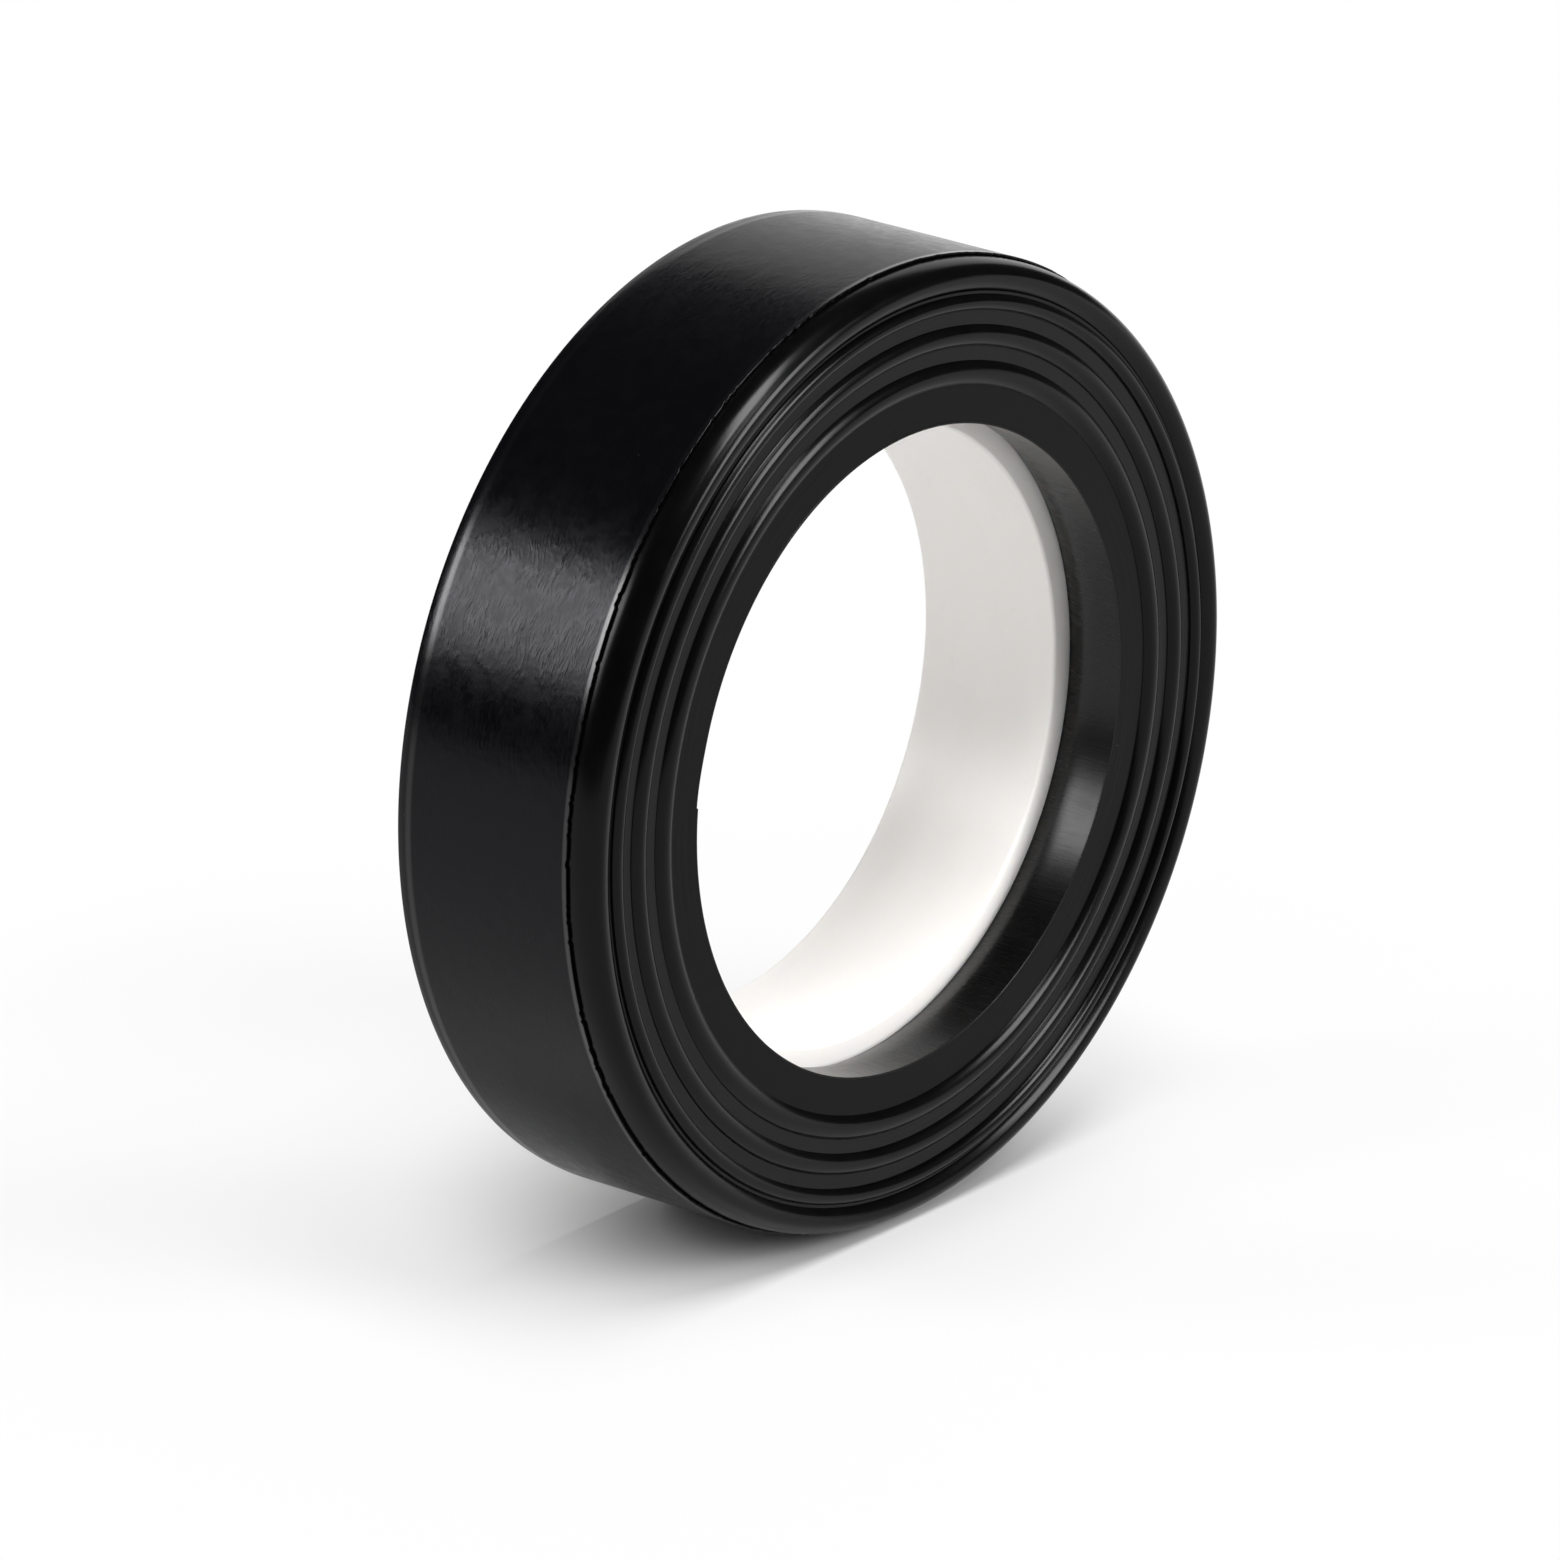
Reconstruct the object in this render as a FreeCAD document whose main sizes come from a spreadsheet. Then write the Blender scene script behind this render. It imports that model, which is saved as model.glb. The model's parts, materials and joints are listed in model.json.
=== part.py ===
import FreeCAD, Part
import os
import Sketcher

# A roll of PVC electrical tape standing on its rim, in millimetres.
# Y is the roll's axis and the ridged front face looks towards -Y. +Z is up.
# The origin is on the axis, midway across the tape's width.
# Angles round the roll are measured from +X towards +Z.
# The strip is wound towards growing angles, so its free tip points that way.

SIZES = [
    ("core_bore_diameter", 39.5, "hole through the plastic core"),
    ("core_wall", 1.6, "core wall, from the bore to the first turn"),
    ("core_length", 10.5, "core length, flush with the back of the tape"),
    ("core_edge_round", 0.7, "rounding of all four core edges"),
    ("tape_width", 15.0, "slit width of the strip"),
    ("film_thickness", 0.13, "PVC film without its adhesive"),
    ("adhesive_thickness", 0.03, "adhesive coat on the inner side of the film"),
    ("flat_turns", 13, "turns in the flat band next to the first turn"),
    ("ridge_one_turns", 9, "turns in the innermost ridge"),
    ("valley_one_turns", 5, "turns between the first two ridges"),
    ("ridge_two_turns", 8, "turns in the middle ridge"),
    ("valley_two_turns", 5, "turns between the last two ridges"),
    ("ridge_three_turns", 6, "turns in the outermost ridge"),
    ("valley_three_turns", 1, "turns between the last ridge and the rim"),
    ("rim_turns", 11, "turns under the outermost one, with the rounded shoulder"),
    ("ridge_height", 0.4, "how far a ridge and the rim stand forward of the valleys"),
    ("shoulder_round", 1.3, "rounding of the front rim"),
    ("edge_wrap_angle", 32, "how far the outer turn's edge bends round the shoulder"),
    ("bore_lean", 0.75, "how far the unsupported first turn leans in at the front"),
    ("turn_clearance", 0.05, "air between the outermost turn and the turns under it"),
    ("start_angle", 174, "where the strip starts on the core"),
    ("start_gap_angle", 12, "arc left open before the start, where the strip climbs"),
    ("tip_angle", 50, "where the strip's outer end stops"),
    ("climb_angle", 10, "arc left open beyond the tip, where the strip dips under it"),
    ("free_end_angle", 60, "arc of the outer end that peels off"),
    ("free_end_segments", 6, "hinged segments that stand for the bending of the free end"),
    ("segment_gap", 0.02, "slit between two hinged segments, and along their front edge"),
]

# Bands of turns, inside out: node, and the shape of its front.
BANDS = [
    ("flat_turns", "flat"),
    ("ridge_one_turns", "ridge"),
    ("valley_one_turns", "flat"),
    ("ridge_two_turns", "ridge"),
    ("valley_two_turns", "flat"),
    ("ridge_three_turns", "ridge"),
    ("valley_three_turns", "flat"),
    ("rim_turns", "rim"),
]

# Places worked out from the sheet. Each may use the ones before it.
PLACES = [
    ("back", "Sizes.tape_width / 2"),
    ("front", "-Sizes.tape_width / 2"),
    ("turn", "Sizes.film_thickness + Sizes.adhesive_thickness"),
    ("core_inner", "Sizes.core_bore_diameter / 2"),
    ("core_outer", "Places.core_inner + Sizes.core_wall"),
    ("core_front", "Places.back - Sizes.core_length"),
    ("first_turn_outer", "Places.core_outer + Places.turn"),
]
inside = "first_turn_outer"
for band, _ in BANDS:
    PLACES.append((f"{band}_outer", f"Places.{inside} + Sizes.{band} * Places.turn"))
    inside = f"{band}_outer"
PLACES += [
    ("wound_outer", f"Places.{inside}"),
    ("roll_outer", "Places.wound_outer + Sizes.turn_clearance + Places.turn"),
    ("shoulder_x", "Places.roll_outer - Sizes.shoulder_round"),
    ("shoulder_y", "Places.front - Sizes.ridge_height + Sizes.shoulder_round"),
    ("peel_angle", "Sizes.tip_angle - Sizes.free_end_angle"),
    ("segment_angle", "Sizes.free_end_angle / Sizes.free_end_segments"),
]

doc = FreeCAD.newDocument("electrical_tape_roll")


def fill_sheet():
    """Put every driving size in the sheet: name, number, meaning."""
    sheet = doc.addObject("Spreadsheet::Sheet", "Sizes")
    for row, (alias, number, meaning) in enumerate(SIZES, start=1):
        sheet.set(f"A{row}", alias)
        sheet.set(f"B{row}", str(number))
        sheet.set(f"C{row}", meaning)
        sheet.setAlias(f"B{row}", alias)
    doc.recompute()


def fill_places():
    """Bind every worked out place to the sheet."""
    variables = doc.addObject("App::VarSet", "Places")
    for name, expression in PLACES:
        variables.addProperty("App::PropertyFloat", name)
        variables.setExpression(name, expression)
    doc.recompute()
    return variables


def value(expression):
    """The number that an expression on the sheet and the places gives."""
    result = places.evalExpression(expression)
    return float(getattr(result, "Value", result))


def vector(point):
    return FreeCAD.Vector(value(point[0]), value(point[1]), 0)


def bind(sketch, kind, edge, end, expression):
    """Fix one coordinate of a point of the sketch to an expression."""
    constraint = Sketcher.Constraint(kind, -1, 1, edge, end, value(expression))
    number = sketch.addConstraint(constraint)
    sketch.setExpression(f"Constraints[{number}]", expression)


def draw_edge(sketch, start, end, via):
    """A straight edge, or an arc through via; returns its number and its ends, start first."""
    if via is None:
        return sketch.addGeometry(Part.LineSegment(vector(start), vector(end)), False), 1, 2
    arc = sketch.addGeometry(Part.Arc(vector(start), vector(via), vector(end)), False)
    marker = sketch.addGeometry(Part.Point(vector(via)), True)
    bind(sketch, "DistanceX", marker, 1, via[0])
    bind(sketch, "DistanceY", marker, 1, via[1])
    sketch.addConstraint(Sketcher.Constraint("PointOnObject", marker, 1, arc))
    first_end = sketch.getPoint(arc, 1)
    if first_end.distanceToPoint(vector(start)) < first_end.distanceToPoint(vector(end)):
        return arc, 1, 2
    return arc, 2, 1


def draw_profile(body, outline):
    """A closed, fully constrained sketch on the body's XY plane.

    Sketch X is the distance from the roll's axis and sketch Y lies along it.
    The outline lists each corner with what leads to the next one: (x, y, via),
    where via is None for a straight edge, or the point (x, y) that an arc passes through.
    """
    sketch = body.newObject("Sketcher::SketchObject", f"{body.Name}_profile")
    plane = next(part for part in body.Origin.OriginFeatures if part.Role == "XY_Plane")
    sketch.AttachmentSupport = (plane, "")
    sketch.MapMode = "FlatFace"
    edges = []
    for number, (x, y, via) in enumerate(outline):
        following = outline[(number + 1) % len(outline)]
        edges.append(draw_edge(sketch, (x, y), following[:2], via))
    for number, (x, y, _) in enumerate(outline):
        edge, start, _ = edges[number]
        previous, _, previous_end = edges[number - 1]
        sketch.addConstraint(Sketcher.Constraint("Coincident", previous, previous_end, edge, start))
        bind(sketch, "DistanceX", edge, start, x)
        bind(sketch, "DistanceY", edge, start, y)
    return sketch


def revolve(label, outline, sweep="360", middle="0"):
    """A body turned round the roll's axis through the angle sweep, with its middle at an angle."""
    body = doc.addObject("PartDesign::Body", label)
    body.Label = label
    sketch = draw_profile(body, outline)
    turned = body.newObject("PartDesign::Revolution", f"{label}_revolution")
    turned.Profile = sketch
    turned.ReferenceAxis = (sketch, ["V_Axis"])
    turned.Midplane = True
    turned.setExpression("Angle", sweep)
    rotation = FreeCAD.Rotation(FreeCAD.Vector(0, -1, 0), value(middle))
    body.Placement = FreeCAD.Placement(FreeCAD.Vector(0, 0, 0), rotation)
    body.setExpression("Placement.Rotation.Angle", middle)
    return body


def around(centre_x, centre_y, radius, angle):
    """A point of a rounding in the section; its angle runs from outwards towards the front."""
    return f"({centre_x} + {radius} * cos({angle}))", f"({centre_y} - {radius} * sin({angle}))"


def make_core():
    edge = "Sizes.core_edge_round"
    inner_x = f"(Places.core_inner + {edge})"
    outer_x = f"(Places.core_outer - {edge})"
    front_y = f"(Places.core_front + {edge})"
    back_y = f"(Places.back - {edge})"
    outline = [
        (inner_x, "Places.core_front", None),
        (outer_x, "Places.core_front", around(outer_x, front_y, edge, "45")),
        ("Places.core_outer", front_y, None),
        ("Places.core_outer", back_y, around(outer_x, back_y, edge, "-45")),
        (outer_x, "Places.back", None),
        (inner_x, "Places.back", around(inner_x, back_y, edge, "-135")),
        ("Places.core_inner", back_y, None),
        ("Places.core_inner", front_y, around(inner_x, front_y, edge, "135")),
    ]
    return revolve("core", outline)


def leaned(radius):
    """Where a turn wound at this radius meets the front; turns further out lean in less."""
    share = f"(Places.wound_outer - {radius}) / (Places.wound_outer - Places.core_outer)"
    return f"({radius} - Sizes.bore_lean * {share})"


def turns_outline(inner, outer, front_via=None, back_via=None):
    """The section of turns between two radii: straight over the core and leaning in before it."""
    return [
        (leaned(inner), "Places.front", front_via),
        (leaned(outer), "Places.front", None),
        (outer, "Places.core_front", None),
        (outer, "Places.back", back_via),
        (inner, "Places.back", None),
        (inner, "Places.core_front", None),
    ]


def ridge_outline(inner, outer):
    """Turns wound forward: their front bulges by the ridge height, and their back is as hollow."""
    front_top = (f"({leaned(inner)} + {leaned(outer)}) / 2", "Places.front - Sizes.ridge_height")
    back_bottom = (f"({inner} + {outer}) / 2", "Places.back - Sizes.ridge_height")
    return turns_outline(inner, outer, front_top, back_bottom)


def on_shoulder(radius, angle):
    return around("Places.shoulder_x", "Places.shoulder_y", radius, angle)


def arc_angle(length, radius):
    """The angle in degrees of an arc of this length."""
    return f"({length} / {radius} * 180 / pi)"


def rim_outline(inner):
    """Turns that rise to the rounded shoulder, cut back to seat the outermost turn."""
    surface = "Sizes.shoulder_round"
    seat = f"({surface} - Places.turn - Sizes.turn_clearance)"
    seat_angle = f"(Sizes.edge_wrap_angle + {arc_angle('Sizes.segment_gap', surface)})"
    foot = leaned(inner)
    top_y = "(Places.front - Sizes.ridge_height)"
    # The rise from the valley is an arc that ends level at the top of the shoulder.
    run = f"(Places.shoulder_x - {foot})"
    rise_radius = f"(({run} ^ 2 + Sizes.ridge_height ^ 2) / (2 * Sizes.ridge_height))"
    rise_y = f"({top_y} + {rise_radius} - sqrt({rise_radius} ^ 2 - ({run} / 2) ^ 2))"
    rise_middle = (f"(Places.shoulder_x - {run} / 2)", rise_y)
    return [
        (foot, "Places.front", rise_middle),
        ("Places.shoulder_x", top_y, on_shoulder(surface, f"((90 + {seat_angle}) / 2)")),
        (*on_shoulder(surface, seat_angle), None),
        (*on_shoulder(seat, seat_angle), on_shoulder(seat, f"({seat_angle} / 2)")),
        ("Places.wound_outer", "Places.shoulder_y", None),
        ("Places.wound_outer", "Places.back", None),
        (inner, "Places.back", None),
        (inner, "Places.core_front", None),
    ]


def make_bands():
    bodies = []
    inner = "Places.first_turn_outer"
    for label, front in BANDS:
        outer = f"Places.{label}_outer"
        if front == "flat":
            outline = turns_outline(inner, outer)
        elif front == "ridge":
            outline = ridge_outline(inner, outer)
        else:
            outline = rim_outline(inner)
        bodies.append(revolve(label, outline))
        inner = outer
    return bodies


def make_first_turn():
    """The turn stuck to the core, as adhesive and film, open where the strip climbs."""
    sweep = "(360 - Sizes.start_gap_angle)"
    middle = f"(Sizes.start_angle + {sweep} / 2)"
    film_inner = "(Places.core_outer + Sizes.adhesive_thickness)"
    adhesive = turns_outline("Places.core_outer", film_inner)
    film = turns_outline(film_inner, "Places.first_turn_outer")
    return [
        revolve("first_turn_adhesive", adhesive, sweep, middle),
        revolve("first_turn_film", film, sweep, middle),
    ]


def outer_layer_outline(depth, thickness):
    """A layer of the outermost turn that lies at a depth under its surface."""
    outer = f"(Sizes.shoulder_round - {depth})"
    inner = f"({outer} - {thickness})"
    wrap = "Sizes.edge_wrap_angle"
    outer_x = f"(Places.shoulder_x + {outer})"
    inner_x = f"(Places.shoulder_x + {inner})"
    return [
        (outer_x, "Places.back", None),
        (outer_x, "Places.shoulder_y", on_shoulder(outer, f"({wrap} / 2)")),
        (*on_shoulder(outer, wrap), None),
        (*on_shoulder(inner, wrap), on_shoulder(inner, f"({wrap} / 2)")),
        (inner_x, "Places.shoulder_y", None),
        (inner_x, "Places.back", None),
    ]


def make_outer_stretch(prefix, suffix, sweep, middle):
    """One stretch of the outermost turn, as film and the adhesive under it."""
    film = outer_layer_outline("0", "Sizes.film_thickness")
    adhesive = outer_layer_outline("Sizes.film_thickness", "Sizes.adhesive_thickness")
    return [
        revolve(f"{prefix}_film{suffix}", film, sweep, middle),
        revolve(f"{prefix}_adhesive{suffix}", adhesive, sweep, middle),
    ]


def make_outer_turn():
    """The outermost turn up to the peel line, open where it dips under the tip."""
    sweep = "(360 - Sizes.free_end_angle - Sizes.climb_angle)"
    middle = f"(Sizes.tip_angle + Sizes.climb_angle + {sweep} / 2)"
    return make_outer_stretch("outer_turn", "", sweep, middle)


def make_free_end():
    """The last stretch of the strip, in short segments that hinge as it peels off."""
    sweep = f"(Places.segment_angle - {arc_angle('Sizes.segment_gap', 'Places.roll_outer')})"
    bodies = []
    for number in range(round(value("Sizes.free_end_segments"))):
        middle = f"(Places.peel_angle + Places.segment_angle * {number + 0.5} + 360)"
        bodies += make_outer_stretch("free_end", f"_{number + 1}", sweep, middle)
    return bodies


def check(bodies):
    """Stop if any object failed to compute or any body isn't one valid solid."""
    for item in doc.Objects:
        if "Invalid" in item.State or "Error" in item.State:
            raise RuntimeError(f"{item.Name} failed: {item.State}")
    for body in bodies:
        shape = body.Shape
        if shape.isNull() or not shape.isValid() or len(shape.Solids) != 1:
            raise RuntimeError(f"{body.Label} isn't one valid solid")


def export(bodies):
    os.makedirs("parts", exist_ok=True)
    for body in bodies:
        body.Shape.exportStep(os.path.join("parts", f"{body.Label}.step"))
        print(f"{body.Label}: {body.Shape.Volume:.2f} mm3")


fill_sheet()
places = fill_places()
tape_roll = [make_core()]
tape_roll += make_first_turn()
tape_roll += make_bands()
tape_roll += make_outer_turn()
tape_roll += make_free_end()
doc.recompute()
check(tape_roll)
export(tape_roll)
print(f"roll diameter {2 * value('Places.roll_outer'):.2f} mm")
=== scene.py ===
"""A roll of black PVC electrical tape on its pale plastic core, built around its fixed CAD frame.

The Y axis is the roll's own axis. Angles round it run from +X towards +Z, which is the way
that the strip is wound. Lengths are in metres.
"""

import json
import math

import bpy
import numpy as np
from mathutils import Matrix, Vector

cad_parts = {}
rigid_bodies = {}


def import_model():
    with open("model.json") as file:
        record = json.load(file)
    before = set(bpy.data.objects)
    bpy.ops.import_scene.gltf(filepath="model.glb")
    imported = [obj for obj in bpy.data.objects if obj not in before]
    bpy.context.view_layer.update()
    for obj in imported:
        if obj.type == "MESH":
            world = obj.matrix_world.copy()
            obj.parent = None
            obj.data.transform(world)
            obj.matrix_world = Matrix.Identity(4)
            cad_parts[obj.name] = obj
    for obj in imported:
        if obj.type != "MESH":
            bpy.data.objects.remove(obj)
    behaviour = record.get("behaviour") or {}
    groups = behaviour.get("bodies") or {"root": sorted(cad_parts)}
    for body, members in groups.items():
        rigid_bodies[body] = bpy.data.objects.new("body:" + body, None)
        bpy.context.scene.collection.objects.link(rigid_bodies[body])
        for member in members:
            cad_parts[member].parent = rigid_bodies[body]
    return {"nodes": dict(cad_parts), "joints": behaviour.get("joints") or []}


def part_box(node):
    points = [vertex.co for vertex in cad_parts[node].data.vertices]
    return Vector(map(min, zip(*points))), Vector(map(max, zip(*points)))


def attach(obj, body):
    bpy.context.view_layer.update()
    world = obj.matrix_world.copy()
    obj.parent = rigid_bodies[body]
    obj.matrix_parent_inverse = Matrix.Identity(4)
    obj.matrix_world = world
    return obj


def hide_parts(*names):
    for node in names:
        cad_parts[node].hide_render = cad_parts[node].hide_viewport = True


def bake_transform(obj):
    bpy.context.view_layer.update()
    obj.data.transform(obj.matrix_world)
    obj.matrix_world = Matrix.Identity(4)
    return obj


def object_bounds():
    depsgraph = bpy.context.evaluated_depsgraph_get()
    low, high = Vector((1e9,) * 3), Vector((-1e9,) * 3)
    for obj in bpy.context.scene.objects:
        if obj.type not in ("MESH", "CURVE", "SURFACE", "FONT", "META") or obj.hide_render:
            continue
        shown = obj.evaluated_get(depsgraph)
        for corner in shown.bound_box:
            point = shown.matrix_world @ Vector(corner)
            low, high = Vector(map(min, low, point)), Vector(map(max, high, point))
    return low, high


bl_info = {
    "name": "Electrical Tape Roll",
    "version": (1, 0, 0),
    "blender": (4, 5, 0),
    "location": "3D View > Sidebar > Tape Roll",
    "description": "Builds the visible strip, windings and core of a roll of electrical tape",
    "category": "Add Mesh",
}

MM = 0.001

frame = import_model()
cad_low, cad_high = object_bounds()


# ---------------------------------------------------------------- places taken from the frame


def reach(node):
    """Least and greatest distance of a CAD node from the roll's axis."""
    points = np.array([vertex.co for vertex in frame["nodes"][node].data.vertices])
    radii = np.hypot(points[:, 0], points[:, 2])
    return float(radii.min()), float(radii.max())


def hinge_angle(joint):
    """Where a joint of the free end lies round the roll, in radians from -pi to pi."""
    x, _, z = joint["pos_m"]
    return math.atan2(z, x)


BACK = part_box("flat_turns")[1].y
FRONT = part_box("flat_turns")[0].y
RIDGE_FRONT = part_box("rim_turns")[0].y
CORE_INNER, CORE_OUTER = reach("core")
CORE_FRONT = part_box("core")[0].y
FIRST_OUTER = reach("first_turn_film")[1]
WOUND_OUTER = reach("rim_turns")[1]
ROLL_OUTER = reach("outer_turn_film")[1]
FILM = ROLL_OUTER - reach("outer_turn_adhesive")[1]
ADHESIVE = FIRST_OUTER - CORE_OUTER - FILM
TURN = FILM + ADHESIVE
LEAN = CORE_OUTER - reach("first_turn_adhesive")[0]
RIDGE_HEIGHT = FRONT - RIDGE_FRONT

# Bands of turns, inside out: CAD node, the visible piece's name, the shape of its front.
BANDS = [
    ("flat_turns", "flat_winding", "flat"),
    ("ridge_one_turns", "inner_ridge_winding", "ridge"),
    ("valley_one_turns", "inner_valley_winding", "flat"),
    ("ridge_two_turns", "middle_ridge_winding", "ridge"),
    ("valley_two_turns", "middle_valley_winding", "flat"),
    ("ridge_three_turns", "outer_ridge_winding", "ridge"),
    ("valley_three_turns", "outer_valley_winding", "flat"),
    ("rim_turns", "rim_winding", "rim"),
]
TURNS = round((WOUND_OUTER - CORE_OUTER) / TURN)

HINGES = [hinge_angle(joint) for joint in frame["joints"]]
SEGMENT = HINGES[1] - HINGES[0]
TIP = HINGES[-1] + SEGMENT
# The free end's bodies in order, the roll first.
CHAIN = [frame["joints"][0]["parent"]] + [joint["child"] for joint in frame["joints"]]
ROLL = CHAIN[0]


# ---------------------------------------------------------------- what a user may change


class TapeRollSizes(bpy.types.PropertyGroup):
    """Sizes of the detail that the frame leaves open."""

    shoulder_round: bpy.props.FloatProperty(
        name="Shoulder Round", description="Rounding of the front rim, towards the axis",
        default=1.0 * MM, unit="LENGTH", precision=5,
    )
    shoulder_width: bpy.props.FloatProperty(
        name="Shoulder Width", description="Rounding of the front rim, along the axis",
        default=1.7 * MM, unit="LENGTH", precision=5,
    )
    edge_set_back: bpy.props.FloatProperty(
        name="Edge Set Back",
        description="How far the outer turn's front edge lies behind the ridges",
        default=1.95 * MM, unit="LENGTH", precision=5,
    )
    back_bend: bpy.props.FloatProperty(
        name="Back Bend", description="Width of the outer turn's back edge that is pressed down",
        default=0.85 * MM, unit="LENGTH", precision=5,
    )
    back_slope: bpy.props.FloatProperty(
        name="Back Slope", description="Slope that the pressed back edge ends with",
        default=math.radians(15), subtype="ANGLE",
    )
    core_round: bpy.props.FloatProperty(
        name="Core Round", description="Rounding of the core's inner edges",
        default=0.22 * MM, unit="LENGTH", precision=5,
    )
    start_angle: bpy.props.FloatProperty(
        name="Start Angle", description="Where the strip starts on the core",
        default=math.radians(174), subtype="ANGLE",
    )
    climb: bpy.props.FloatProperty(
        name="Climb", description="Arc over which the strip climbs one thickness",
        default=math.radians(12), subtype="ANGLE",
    )
    seam_depth: bpy.props.FloatProperty(
        name="Seam Depth", description="Depth of the groove between two turns' edges",
        default=0.0015 * MM, unit="LENGTH", precision=6,
    )
    wander: bpy.props.FloatProperty(
        name="Wander", description="How far a turn's edge strays sideways as it was wound",
        default=0.004 * MM, unit="LENGTH", precision=6,
    )
    slit_round: bpy.props.FloatProperty(
        name="Slit Round", description="Rounding that the knife leaves on the strip's edges",
        default=0.03 * MM, unit="LENGTH", precision=6,
    )
    nick_depth: bpy.props.FloatProperty(
        name="Nick Depth", description="Depth of the nicks in the outer turn's front edge",
        default=0.12 * MM, unit="LENGTH", precision=6,
    )


class TapeRollColours(bpy.types.PropertyGroup):
    """Colours of the finishes, as linear values."""

    film: bpy.props.FloatVectorProperty(
        name="Film", description="Black of the PVC film", subtype="COLOR",
        default=(0.0016, 0.0016, 0.0022),
    )
    slit_edge: bpy.props.FloatVectorProperty(
        name="Slit Edge", description="Black of the strip's cut edges", subtype="COLOR",
        default=(0.0012, 0.0012, 0.0013),
    )
    adhesive: bpy.props.FloatVectorProperty(
        name="Adhesive", description="Black of the rubber adhesive", subtype="COLOR",
        default=(0.0012, 0.0012, 0.0012),
    )
    core: bpy.props.FloatVectorProperty(
        name="Core", description="Off-white of the moulded core", subtype="COLOR",
        default=(0.90, 0.875, 0.85),
    )
    floor: bpy.props.FloatVectorProperty(
        name="Floor", description="White of the studio floor", subtype="COLOR",
        default=(0.58, 0.58, 0.58),
    )


# ---------------------------------------------------------------- shader nodes as expressions


class Wire:
    """A node's output socket. Arithmetic on one that carries a number adds Math nodes."""

    def __init__(self, nodes, socket):
        self.nodes = nodes
        self.socket = socket

    def math(self, operation, *inputs):
        return self.nodes.node("ShaderNodeMath", {"operation": operation}, dict(enumerate(inputs)))

    def __add__(self, other):
        return self.math("ADD", self, other)

    def __sub__(self, other):
        return self.math("SUBTRACT", self, other)

    def __rsub__(self, other):
        return self.math("SUBTRACT", other, self)

    def __mul__(self, other):
        return self.math("MULTIPLY", self, other)

    def __pow__(self, other):
        return self.math("POWER", self, other)

    def __abs__(self):
        return self.math("ABSOLUTE", self)

    def __lt__(self, other):
        return self.math("LESS_THAN", self, other)

    __radd__ = __add__
    __rmul__ = __mul__


class Nodes:
    """An emptied node tree, and the one way to add a node to it."""

    def __init__(self, tree):
        self.tree = tree
        tree.nodes.clear()

    def node(self, kind, settings=None, sockets=None, output=0):
        """Add a node, its settings first, then its sockets' values or links; return an output."""
        made = self.tree.nodes.new(kind)
        for name, setting in (settings or {}).items():
            setattr(made, name, setting)
        for name, given in (sockets or {}).items():
            if isinstance(given, Wire):
                self.tree.links.new(given.socket, made.inputs[name])
            else:
                made.inputs[name].default_value = given
        return Wire(self, made.outputs[output]) if made.outputs else made


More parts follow.
